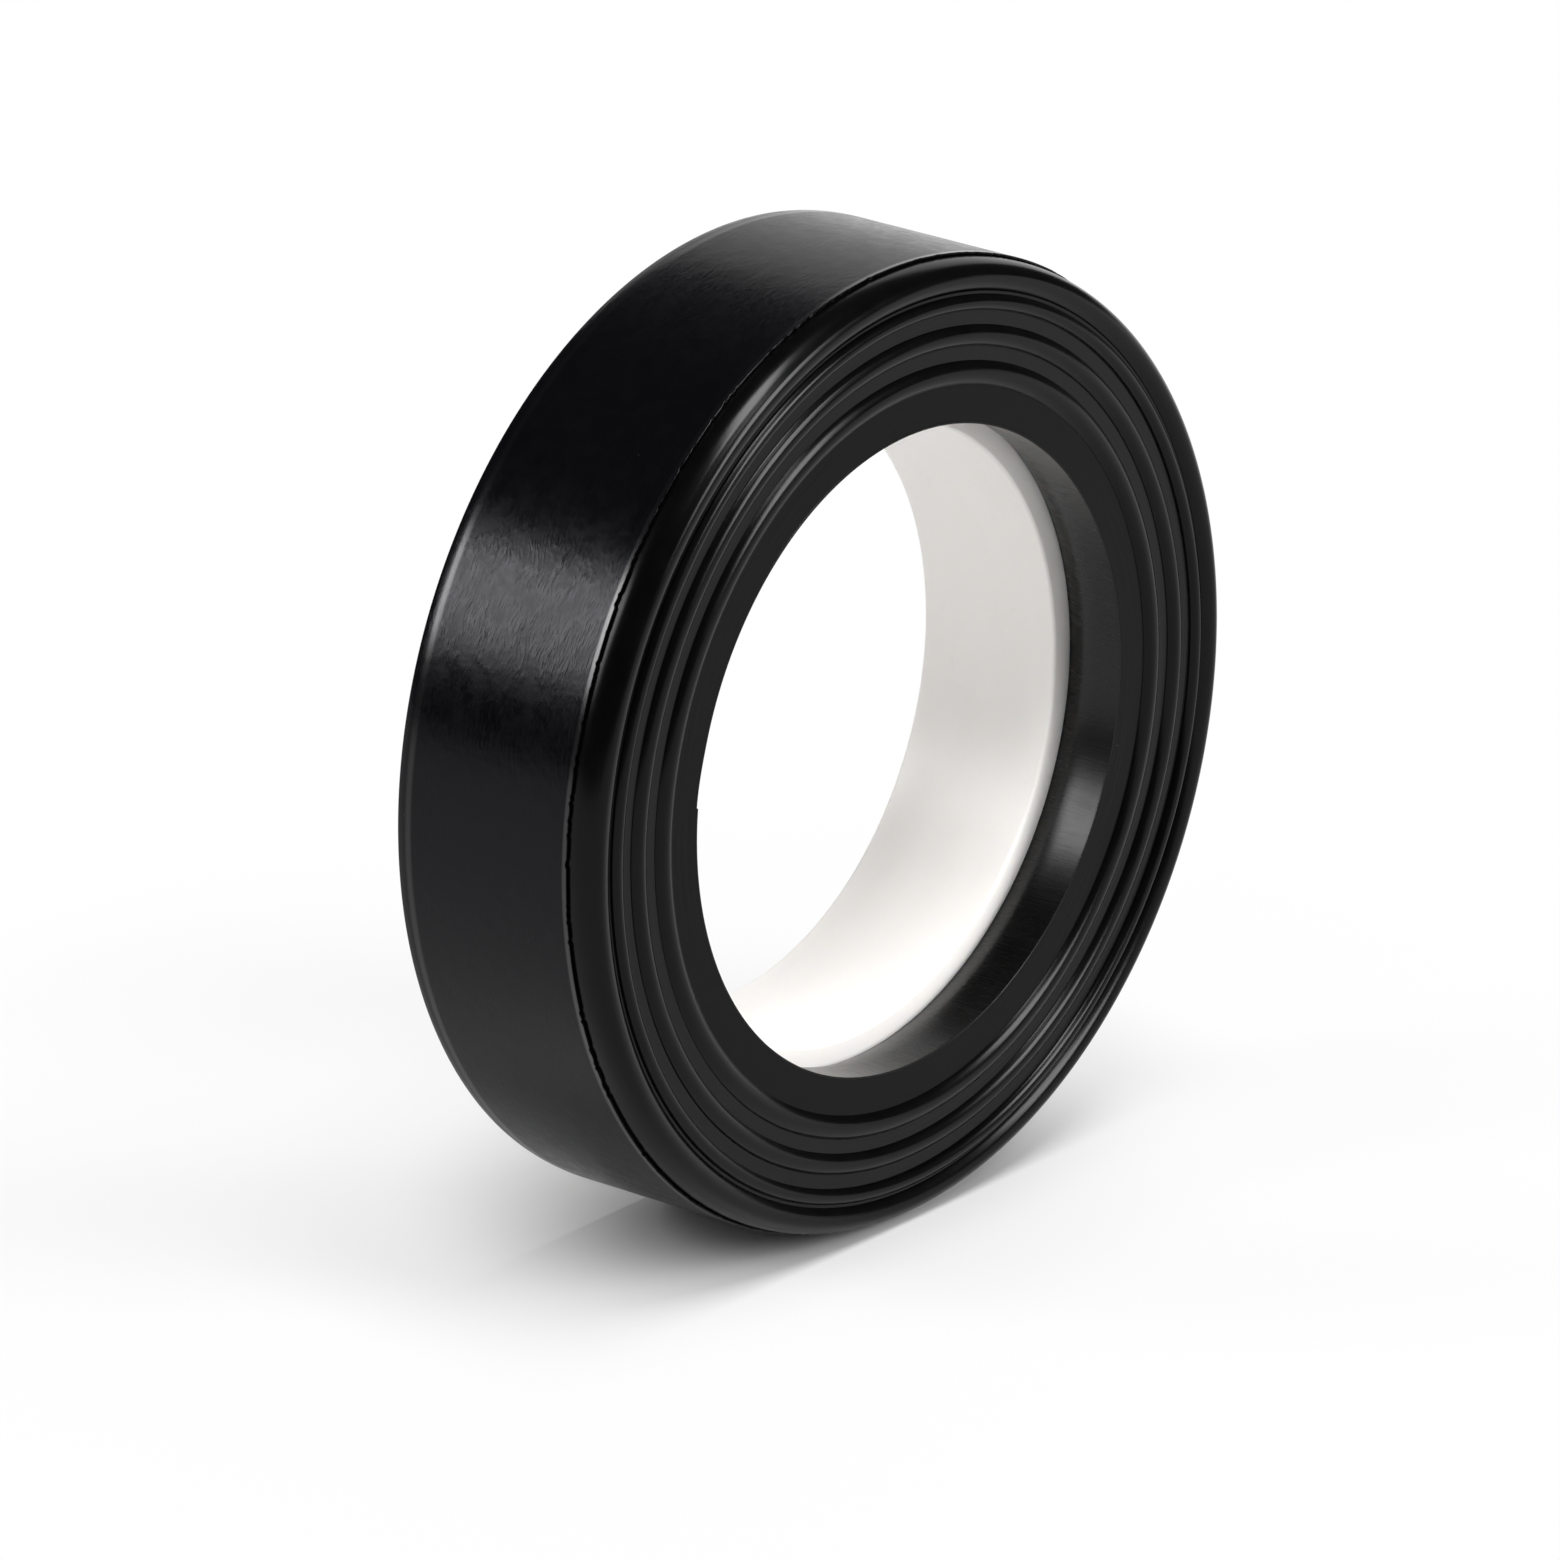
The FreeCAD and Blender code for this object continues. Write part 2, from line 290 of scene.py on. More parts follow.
class Finish(Nodes):
    """One material, with short ways to add its nodes."""

    def __init__(self, name):
        self.material = bpy.data.materials.new(name)
        self.material.use_nodes = True
        super().__init__(self.material.node_tree)

    def place(self):
        """A point of the piece in millimetres."""
        return self.in_millimetres(self.node("ShaderNodeTexCoord", output="Object"))

    def strip_place(self):
        """A point of the strip in millimetres: along it, across it, and out from the axis."""
        return self.in_millimetres(
            self.node("ShaderNodeAttribute", {"attribute_name": "strip"}, output="Vector")
        )

    def in_millimetres(self, vector):
        return self.scaled(vector, (1 / MM, 1 / MM, 1 / MM))

    def scaled(self, vector, factors):
        return self.node(
            "ShaderNodeVectorMath", {"operation": "MULTIPLY"}, {0: vector, 1: factors}
        )

    def moved(self, vector, offset):
        return self.node("ShaderNodeVectorMath", {"operation": "ADD"}, {0: vector, 1: offset})

    def away_from(self, vector, seed):
        """The vector moved to a part of the noise that belongs to the seed."""
        return self.moved(vector, (7.3 * seed, 3.1 * seed, 5.7 * seed))

    def patches(self, vector, scale):
        """Soft noise from 0 to 1 in another part of the noise than the vector's own."""
        return self.noise(self.moved(vector, (31.0, 17.0, 5.0)), scale, detail=2.0)

    def parts(self, vector):
        """The vector's three numbers."""
        split = self.node("ShaderNodeSeparateXYZ", sockets={0: vector})
        outputs = split.socket.node.outputs
        return [Wire(self, outputs[number]) for number in range(3)]

    def joined(self, x, y, z):
        return self.node("ShaderNodeCombineXYZ", sockets={0: x, 1: y, 2: z})

    def noise(self, vector, scale, detail=2.0, roughness=0.5, distortion=0.0):
        """Noise from 0 to 1 at so many waves in a millimetre."""
        return self.node(
            "ShaderNodeTexNoise", {"noise_dimensions": "3D"},
            {"Vector": vector, "Scale": scale, "Detail": detail,
             "Roughness": roughness, "Distortion": distortion},
        )

    def ramp(self, number, low, high):
        """0 below low, 1 above high, and a soft step between them."""
        return self.node(
            "ShaderNodeMapRange", {"interpolation_type": "SMOOTHSTEP"},
            {"Value": number, "From Min": low, "From Max": high},
        )

    def mixed(self, share, first, second):
        """A colour that goes from the first to the second."""
        return self.node(
            "ShaderNodeMix", {"data_type": "RGBA"}, {0: share, 6: first, 7: second}, output=2
        )

    def specks(self, vector, spacing, size, share):
        """1 inside sparse round specks; spacing and size are in millimetres."""
        near = self.node(
            "ShaderNodeTexVoronoi", {"feature": "F1"},
            {"Vector": vector, "Scale": 1 / spacing, "Randomness": 1.0},
        )
        outputs = near.socket.node.outputs
        chosen = self.parts(Wire(self, outputs["Color"]))[0] < share
        return (1 - self.ramp(near, 0.5 * size / spacing, size / spacing)) * chosen

    def hairs(self, vector, length, width, share, seed):
        """1 along thin, short, curved lines that lie mostly along the vector's first axis."""
        shifted = self.away_from(vector, seed)
        field = self.noise(
            self.scaled(shifted, (1 / length, 0.24 / width, 1.0)),
            scale=0.55, detail=1.0, roughness=0.4, distortion=0.35,
        )
        line = 1 - self.ramp(abs(field - 0.5), 0.006, 0.03)
        return line * self.ramp(self.patches(shifted, 0.9), 1 - share, 1.15 - share)

    def fibres(self, vector, length, spacing, seed):
        """Ridges from 0 to 1 that lie close together along the vector's first axis."""
        shifted = self.away_from(vector, seed)
        field = self.noise(
            self.scaled(shifted, (1 / length, 1 / spacing, 1.0)), scale=1.0, detail=1.0
        )
        ridges = 1 - self.ramp(abs(field - 0.5), 0.0, 0.24)
        return ridges * self.ramp(self.patches(shifted, 0.8), 0.34, 0.62)

    def shaded(self, field, colour, factor):
        """The colour, drifting softly to a factor of it where the field is high."""
        far_colour = colour_of([factor * part for part in colour])
        return self.mixed(self.ramp(field, 0.3, 0.7), colour_of(colour), far_colour)

    def surface(self, colour, roughness, height, depth, settings):
        """The finished surface; depth is how many metres the height from 0 to 1 stands for."""
        bump = self.node(
            "ShaderNodeBump", sockets={"Height": height, "Distance": depth, "Strength": 1.0}
        )
        sockets = {"Base Color": colour, "Roughness": roughness, "Normal": bump, **settings}
        shader = self.node("ShaderNodeBsdfPrincipled", sockets=sockets)
        self.node("ShaderNodeOutputMaterial", sockets={"Surface": shader})
        return self.material


def colour_of(values):
    """The three values as a shader's colour."""
    return (*values, 1.0)


WHITE = colour_of((1.0, 1.0, 1.0))
DUST_GREY = colour_of((0.07, 0.07, 0.07))
NICK_GREY = colour_of((0.045, 0.044, 0.044))
SCUFF_BROWN = colour_of((0.45, 0.42, 0.39))
SPECK_BROWN = colour_of((0.42, 0.38, 0.34))


def film_finish(colours, sizes):
    """Satin calendered PVC: short swaying fibres in its skin, burnished lines along its edges."""
    finish = Finish("satin_film")
    along, across, _ = finish.parts(finish.strip_place())
    flat = finish.joined(along, across, 0.0)
    cloud = finish.noise(flat, scale=0.12, detail=3.0)
    grain = finish.noise(
        finish.scaled(flat, (0.5, 1.0, 1.0)), scale=9.0, detail=3.0, roughness=0.6
    )
    sway = finish.noise(flat, scale=0.17)
    swayed = finish.joined(along, across + 2.6 * sway, 0.0)
    fibres = (
        finish.fibres(swayed, length=1.3, spacing=0.24, seed=1)
        + finish.fibres(swayed, length=0.9, spacing=0.16, seed=2)
    )
    dust = finish.specks(flat, spacing=1.6, size=0.045, share=0.16)
    base = finish.mixed(dust, finish.shaded(cloud, colours.film, 1.25), DUST_GREY)
    roughness = 0.26 + 0.05 * (cloud - 0.5) + 0.06 * (grain - 0.5) - 0.05 * fibres
    height = 0.5 + 0.45 * fibres + 0.06 * (grain - 0.5) + 0.3 * (cloud - 0.5)
    # The lines lie just inside the cut front edge and just before the bend of the back edge.
    front_line = (RIDGE_FRONT + sizes.edge_set_back) / MM + 0.16
    back_line = (BACK - sizes.back_bend) / MM - 0.05
    burnished = (
        0.8 * (1 - finish.ramp(abs(across - front_line), 0.08, 0.26))
        + 0.5 * (1 - finish.ramp(abs(across - back_line), 0.06, 0.34))
    )
    settings = {
        "Specular IOR Level": 0.15, "Specular Tint": (0.93, 0.93, 1.0, 1.0),
        "Coat Weight": burnished, "Coat Roughness": 0.2,
    }
    return finish.surface(base, roughness, height, 0.0075 * MM, settings)


def cut_edge_finish(name, colours, gloss):
    """Knife-cut film edges: fine lines round the roll, soft mottling and small pale nicks."""
    finish = Finish(name)
    place = finish.place()
    x, y, z = finish.parts(place)
    radius = (x * x + z * z) ** 0.5
    turn_lines = finish.noise(
        finish.joined(radius * 6.0, 0.35 * x, 0.35 * z), scale=1.0, detail=3.0, roughness=0.6
    )
    mottle = finish.noise(place, scale=0.5, detail=3.0)
    grain = finish.noise(place, scale=7.0, roughness=0.6)
    nicks = finish.specks(place, spacing=1.2, size=0.05, share=0.10)
    base = finish.mixed(nicks, finish.shaded(mottle, colours.slit_edge, 1.3), NICK_GREY)
    roughness = 0.21 + 0.06 * (turn_lines - 0.5) + 0.07 * (mottle - 0.5) + 0.05 * (grain - 0.5)
    height = 0.6 * turn_lines + 0.25 * grain + 0.4 * mottle
    return finish.surface(base, roughness, height, 0.0012 * MM, {"Specular IOR Level": gloss})


def slit_finish(colours, sizes):
    """The strip's cut edges."""
    return cut_edge_finish("slit_edges", colours, gloss=0.14)


def flat_slit_finish(colours, sizes):
    """The same edges where they were pressed flat beside the core, and duller."""
    return cut_edge_finish("flat_slit_edges", colours, gloss=0.08)


def adhesive_finish(colours, sizes):
    """Tacky rubber coat: glossy, drawn into fine lines across the strip."""
    finish = Finish("adhesive_coat")
    strip = finish.strip_place()
    brushed = finish.noise(
        finish.scaled(strip, (5.0, 0.22, 0.0)), scale=1.0, detail=4.0, roughness=0.65
    )
    broad = finish.noise(finish.scaled(strip, (0.8, 0.12, 0.0)), scale=1.0)
    blotch = finish.noise(strip, scale=0.35, detail=3.0)
    base = finish.shaded(blotch, colours.adhesive, 1.5)
    roughness = 0.27 + 0.10 * (brushed - 0.5) + 0.06 * (blotch - 0.5)
    height = 0.7 * brushed + 0.5 * broad + 0.2 * blotch
    return finish.surface(base, roughness, height, 0.0030 * MM, {"Specular IOR Level": 0.28})


def core_finish(colours, sizes):
    """Moulded off-white plastic: faint flow marks, fine satin grain, scuffs and small specks."""
    finish = Finish("moulded_core")
    place = finish.place()
    x, y, z = finish.parts(place)
    flow = finish.noise(finish.joined(0.12 * x, 0.5 * y, 0.12 * z), scale=1.0, detail=3.0)
    grain = finish.noise(place, scale=6.0, detail=3.0, roughness=0.6)
    scuffs = finish.hairs(finish.joined(z, y, x), length=2.2, width=0.35, share=0.40, seed=5)
    specks = finish.specks(place, spacing=2.6, size=0.07, share=0.12)
    base = finish.mixed(
        finish.ramp(flow, 0.25, 0.75),
        colour_of([0.985 * part for part in colours.core]),
        colour_of(colours.core),
    )
    base = finish.mixed(0.06 * scuffs, base, SCUFF_BROWN)
    base = finish.mixed(0.5 * specks, base, SPECK_BROWN)
    roughness = 0.38 + 0.08 * (flow - 0.5) + 0.06 * (grain - 0.5) + 0.10 * scuffs
    height = 0.5 + 0.25 * (grain - 0.5) + 0.6 * (flow - 0.5) - 0.25 * scuffs
    settings = {
        "Specular IOR Level": 0.45, "Subsurface Weight": 0.25,
        "Subsurface Radius": (1.0, 0.8, 0.6), "Subsurface Scale": 0.9 * MM,
    }
    return finish.surface(base, roughness, height, 0.006 * MM, settings)


def floor_finish(colours, sizes):
    """White studio floor, which fades into pure white away from the roll."""
    finish = Finish("studio_floor")
    x, y, _ = finish.parts(finish.place())
    away = (x * x + y * y) ** 0.5
    # Shares of pure white: a step beside the roll, which is painted light that lightens the roll's
    # shadow there, and a second one far from it.
    near = 0.70 * finish.ramp(away, 9.0, 28.0)
    far = 0.45 * finish.ramp(away, 34.0, 95.0)
    seen = finish.node("ShaderNodeLightPath", output="Is Camera Ray")
    mirrored = finish.node("ShaderNodeLightPath", output="Is Glossy Ray")
    through = finish.node("ShaderNodeLightPath", output="Is Transmission Ray")
    paint = finish.node(
        "ShaderNodeBsdfDiffuse", sockets={"Color": colour_of(colours.floor), "Roughness": 0.0}
    )
    white = finish.node("ShaderNodeEmission", sockets={"Color": WHITE, "Strength": 1.0})
    share = (near + far) * seen + (0.2 * near + 2.2 * far) * (mirrored + through)
    share = finish.node("ShaderNodeClamp", sockets={"Value": share})
    both = finish.node("ShaderNodeMixShader", sockets={0: share, 1: paint, 2: white})
    finish.node("ShaderNodeOutputMaterial", sockets={"Surface": both})
    return finish.material


FINISHES = {
    "satin_film": film_finish,
    "slit_edges": slit_finish,
    "flat_slit_edges": flat_slit_finish,
    "adhesive_coat": adhesive_finish,
    "moulded_core": core_finish,
    "studio_floor": floor_finish,
}


def finish_named(context, name):
    """The material of that name, made the first time that it's asked for."""
    scene = context.scene
    return bpy.data.materials.get(name) or FINISHES[name](
        scene.tape_roll_colours, scene.tape_roll_sizes
    )


# ---------------------------------------------------------------- meshes


SHARPEST = math.radians(50)


def make_object(context, name, points, faces, finishes, second_finish, strip):
    """A smooth-shaded mesh object, its faces turned outwards and its hard edges kept.

    second_finish tells which faces take the second of the finishes, and strip holds each
    point's place along the strip, across it and out from the axis.
    """
    corners = points[faces]
    normals = np.cross(corners[:, 1] - corners[:, 0], corners[:, 3] - corners[:, 0])
    if np.einsum("ij,ij->", corners.mean(axis=1), normals) < 0:
        faces = faces[:, ::-1]
    mesh = bpy.data.meshes.new(name)
    mesh.from_pydata(points.tolist(), [], faces.tolist())
    mesh.shade_smooth()
    mesh.set_sharp_from_angle(angle=SHARPEST)
    for finish in finishes:
        mesh.materials.append(finish_named(context, finish))
    mesh.polygons.foreach_set("material_index", second_finish.astype(np.int32))
    values = mesh.attributes.new("strip", "FLOAT_VECTOR", "POINT")
    values.data.foreach_set("vector", strip.astype(np.float32).ravel())
    mesh.update()
    made = bpy.data.objects.new(name, mesh)
    context.scene.collection.objects.link(made)
    return made


def loft(context, name, angles, radii, axials, closed, finishes, edge_columns=()):
    """A closed mesh through the sections of a strip or a band round the axis.

    radii and axials have a row for each angle and a column for each point of the section's
    loop. A loop of an open stretch runs along one side of the strip and back along the other,
    with as many points on each. Faces at edge_columns take the second finish.
    """
    rows, columns = radii.shape
    turned = angles[:, None]
    points = np.stack([radii * np.cos(turned), axials, radii * np.sin(turned)], axis=-1)
    along = np.broadcast_to(turned * ROLL_OUTER, radii.shape)
    strip = np.stack([along, axials, radii], axis=-1)
    here = np.arange(rows * columns).reshape(rows, columns)
    near, far = (here, np.roll(here, -1, axis=0)) if closed else (here[:-1], here[1:])
    sides = np.stack([near, far, np.roll(far, -1, axis=1), np.roll(near, -1, axis=1)], axis=-1)
    second = np.zeros(sides.shape[:2], bool)
    second[:, list(edge_columns)] = True
    faces, seconds = [sides.reshape(-1, 4)], [second.ravel()]
    if not closed:
        half = columns // 2
        for row, step in ((here[0], 1), (here[-1], -1)):
            outer, inner = row[:half], row[::-1][:half]
            cap = np.stack([outer[:-1], outer[1:], inner[1:], inner[:-1]], axis=-1)
            faces.append(cap[:, ::step])
            seconds.append(np.ones(len(cap), bool))
    return make_object(
        context, name, points.reshape(-1, 3), np.concatenate(faces), finishes,
        np.concatenate(seconds), strip.reshape(-1, 3),
    )


MOST_WAVES = 14


def waves(seed, lowest, highest, angles):
    """A smooth random curve round the roll, from about -1 to 1, made of whole waves."""
    random = np.random.default_rng(seed)
    counts = np.unique(np.geomspace(lowest, highest, MOST_WAVES).round())
    phases = random.uniform(0, 2 * math.pi, len(counts))
    sizes = random.uniform(0.4, 1.0, len(counts))
    curve = (sizes * np.cos(np.outer(angles, counts) + phases)).sum(axis=1)
    return curve / sizes.sum()


def soft_step(share):
    """0 below 0, 1 above 1, and a soft step between them."""
    share = np.clip(share, 0, 1)
    return share * share * (3 - 2 * share)


# ---------------------------------------------------------------- the core


class TAPEROLL_OT_core(bpy.types.Operator):
    """Build the moulded plastic core"""

    bl_idname = "tape_roll.core"
    bl_label = "Plastic Core"

    STEPS = 360
    CORNER_POINTS = 10
    OUTER_ROUND = 0.1 * MM

    def execute(self, context):
        wide, tight = context.scene.tape_roll_sizes.core_round, self.OUTER_ROUND
        turn = np.linspace(0, math.pi / 2, self.CORNER_POINTS)
        corners = [
            (CORE_OUTER - tight, CORE_FRONT + tight, -math.pi / 2, tight),
            (CORE_OUTER - tight, BACK - tight, 0.0, tight),
            (CORE_INNER + wide, BACK - wide, math.pi / 2, wide),
            (CORE_INNER + wide, CORE_FRONT + wide, math.pi, wide),
        ]
        radii = np.concatenate([x + r * np.cos(turn + start) for x, _, start, r in corners])
        axials = np.concatenate([y + r * np.sin(turn + start) for _, y, start, r in corners])
        angles = np.linspace(0, 2 * math.pi, self.STEPS, endpoint=False)
        rows = np.ones((self.STEPS, 1))
        core = loft(
            context, "plastic_core", angles, rows * radii, rows * axials, True, ["moulded_core"]
        )
        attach(core, ROLL)
        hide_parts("core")
        return {"FINISHED"}


# ---------------------------------------------------------------- the wound turns


def leaned(radius):
    """Where a turn wound at this radius meets the front."""
    return radius - LEAN * (WOUND_OUTER - radius) / (WOUND_OUTER - CORE_OUTER)


def bulge(x, middle, half_width, height):
    """How far an arc over a band stands proud of its ends."""
    radius = (half_width ** 2 + height ** 2) / (2 * height)
    return np.sqrt(np.maximum(0, radius ** 2 - (x - middle) ** 2)) - (radius - height)


class Winding:
    """Places on the front and back of the wound turns, with every turn's own edge."""

    # Points across a turn, as shares of its thickness; 0 is the seam with the turn under it.
    FRONT_SHARES = (0.0, 0.12, 0.38, 0.64, 0.9)
    BACK_SHARES = (0.0, 0.2, 0.8)
    # How far the front's own rounding stops short of the rim's side, as an angle.
    LAST_ROUND = math.radians(16)
    SHOULDER_POINTS = 4
    STEPS = 420
    # How deep a turn's edge falls off beside a seam, as a share of the seam's depth.
    CROWN_DEPTH = 0.6

    def __init__(self, sizes):
        self.sizes = sizes
        self.angles = np.linspace(0, 2 * math.pi, self.STEPS, endpoint=False)
        wanders = [
            0.5 + 0.5 * np.clip(1.8 * waves(10 + turn, 1, 9, self.angles), -1, 1)
            for turn in range(TURNS + 1)
        ]
        self.wander = sizes.wander * np.array(wanders).T

    def relief(self, first, last, shares):
        """Turn positions and how deep each lies, from turn first to turn last."""
        places, depths = [], []
        for turn in range(first, last):
            for share in shares:
                places.append(turn + share)
                own = self.wander[:, turn]
                if share == 0:
                    under = self.wander[:, max(turn - 1, 0)]
                    depths.append(np.maximum(own, under) + self.sizes.seam_depth)
                else:
                    crown = self.CROWN_DEPTH * (2 * share - 1) ** 4
                    depths.append(own + self.sizes.seam_depth * crown)
        own = self.wander[:, min(last, TURNS)]
        depths.append(np.maximum(own, self.wander[:, last - 1]) + self.sizes.seam_depth)
        places.append(last)
        return CORE_OUTER + TURN * np.array(places), np.array(depths).T

    def front_profile(self, shape, radii):
        """The smooth front of a band: places out from the axis and along it."""
        x = leaned(radii)
        if shape == "flat":
            return x, np.full_like(x, FRONT)
        if shape == "ridge":
            middle, half = (x[0] + x[-1]) / 2, (x[-1] - x[0]) / 2
            return x, FRONT - bulge(x, middle, half, RIDGE_HEIGHT)
        depth, width = self.sizes.shoulder_round, self.sizes.shoulder_width
        centre_x, centre_y = WOUND_OUTER - depth, RIDGE_FRONT + width
        seat = centre_x + depth * math.cos(self.LAST_ROUND)
        x = x[0] + (seat - x[0]) * (x - x[0]) / (x[-1] - x[0])
        rise = FRONT - bulge(x, centre_x, centre_x - x[0], RIDGE_HEIGHT)
        fall = centre_y - width * np.sqrt(1 - (np.maximum(0, x - centre_x) / depth) ** 2)
        return x, np.where(x < centre_x, rise, fall)

    def back_profile(self, shape, radii):
        """The smooth back of a band: places out from the axis and along it."""
        if shape == "flat":
            return radii, np.full_like(radii, BACK)
        if shape == "ridge":
            middle, half = (radii[0] + radii[-1]) / 2, (radii[-1] - radii[0]) / 2
            return radii, BACK - bulge(radii, middle, half, RIDGE_HEIGHT)
        pressed = soft_step((radii - radii[0]) / (radii[-1] - radii[0]))
        return radii - back_drop(self.sizes) * pressed, np.full_like(radii, BACK)

    def rim_side(self, outer):
        """The rim's side: the last of the front's rounding, then flat up to the pressed back."""
        sizes = self.sizes
        turns = np.linspace(0.75 * self.LAST_ROUND, 0, self.SHOULDER_POINTS)
        side = [
            (outer - sizes.shoulder_round * (1 - math.cos(turn)),
             RIDGE_FRONT + sizes.shoulder_width * (1 - math.sin(turn)))
            for turn in turns
        ]
        side.append((outer, BACK - sizes.back_bend))
        side.append((outer - 0.3 * back_drop(sizes), BACK - 0.4 * sizes.back_bend))
        return side

    def sunk(self, x, y, depths, outward):
        """The profile with every point moved inwards by its depth, square to the profile."""
        slope_x, slope_y = np.gradient(x), np.gradient(y)
        length = np.hypot(slope_x, slope_y)
        normal_x, normal_y = -outward * slope_y / length, outward * slope_x / length
        return x - depths * normal_x, y - depths * normal_y

    def band(self, context, node, name, shape, first, last):
        """One band of turns as a closed ring."""
        radii, depths = self.relief(first, last, self.FRONT_SHARES)
        x, y = self.front_profile(shape, radii)
        front_x, front_y = self.sunk(x, y, depths, -1)
        radii, depths = self.relief(first, last, self.BACK_SHARES)
        x, y = self.back_profile(shape, radii)
        back_x, back_y = self.sunk(x, y, depths, 1)
        rows = np.ones((self.STEPS, 1))
        inner, outer = radii[0], radii[-1]
        side = self.rim_side(outer) if shape == "rim" else [(outer, CORE_FRONT)]
        side_x, side_y = np.array(side).T
        ring_x = np.hstack([front_x, rows * side_x, back_x[:, ::-1], rows * inner])
        ring_y = np.hstack([front_y, rows * side_y, back_y[:, ::-1], rows * CORE_FRONT])
        finish = "flat_slit_edges" if node == BANDS[0][0] else "slit_edges"
        made = loft(context, name, self.angles, ring_x, ring_y, True, [finish])
        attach(made, ROLL)
        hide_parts(node)


class TAPEROLL_OT_windings(bpy.types.Operator):
    """Build the bands of wound turns, with each turn's own edge on the front and the back"""

    bl_idname = "tape_roll.windings"
    bl_label = "Windings"

    def execute(self, context):
        winding = Winding(context.scene.tape_roll_sizes)
        first = 1
        for node, name, shape in BANDS:
            outer = reach(node)[1]
            last = round((outer - CORE_OUTER) / TURN)
            winding.band(context, node, name, shape, first, last)
            first = last
        return {"FINISHED"}


# ---------------------------------------------------------------- the strip, where it shows alone


def edge_inset(distance, rounding):
    """How far a rounded slit edge is drawn in at a distance from the cut."""
    left = np.clip(rounding - distance, 0, rounding)
    return rounding - np.sqrt(rounding ** 2 - left ** 2)


class TAPEROLL_OT_innermost_turn(bpy.types.Operator):
    """Build the first turn on the core, from the strip's start to where it climbs over it"""

    bl_idname = "tape_roll.innermost_turn"
    bl_label = "Innermost Turn"

    STEPS = 720
    POINTS = 24
    CUT_SHARES = np.array([0.0, 0.2, 0.5, 1.0])
    MARGIN = 0.2 * MM
    THINNEST = 0.004 * MM
    # How early the lean sets in behind the front of the core; 1 would be an even slope.
    LEAN_EASE = 5.0

    def layer(self, sizes, inner, outer, tapered):
        """One layer's sections and the columns of its cut edges; a tapered one thins out."""
        angles = sizes.start_angle + np.linspace(0, 2 * math.pi, self.STEPS)
        climbed = soft_step((angles - angles[-1]) / sizes.climb + 1)[:, None]
        cut = self.CUT_SHARES * sizes.slit_round
        middle = np.linspace(FRONT + self.MARGIN, BACK - self.MARGIN, self.POINTS)
        across = np.concatenate([FRONT + cut, middle, BACK - cut[::-1]])
        to_edge = np.minimum(across - FRONT, BACK - across)
        inset = edge_inset(to_edge, sizes.slit_round) * (outer - inner) / TURN
        to_front = np.clip((CORE_FRONT - across) / (CORE_FRONT - FRONT), 0, 1)
        lean = -LEAN * (1 - (1 - to_front) ** self.LEAN_EASE)
        lift = climbed * (FILM - self.THINNEST)
        inner_side = inner + lift + inset + lean
        outer_side = outer + (0 if tapered else 1) * lift - inset + lean
        radii = np.hstack([outer_side, inner_side[:, ::-1]])
        axials = np.tile(np.concatenate([across, across[::-1]]), (self.STEPS, 1))
        half = len(across)
        edges = [*range(3), *range(half - 4, half + 3), 2 * half - 1]
        return (angles, radii, axials), edges

    def execute(self, context):
        sizes = context.scene.tape_roll_sizes
        middle = CORE_OUTER + ADHESIVE
        sections, edges = self.layer(sizes, middle, FIRST_OUTER, True)
        finishes = ["satin_film", "slit_edges"]
        made = loft(context, "innermost_film", *sections, False, finishes, edges)
        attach(made, ROLL)
        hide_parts("first_turn_film")
        sections, _ = self.layer(sizes, CORE_OUTER, middle, False)
        finishes = ["adhesive_coat", "adhesive_coat"]
        made = loft(context, "innermost_adhesive", *sections, False, finishes)
        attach(made, ROLL)
        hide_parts("first_turn_adhesive")
        return {"FINISHED"}


def back_drop(sizes):
    """How far the pressed back edge of the outer turn lies under its surface."""
    return sizes.back_bend / math.sin(sizes.back_slope) * (1 - math.cos(sizes.back_slope))


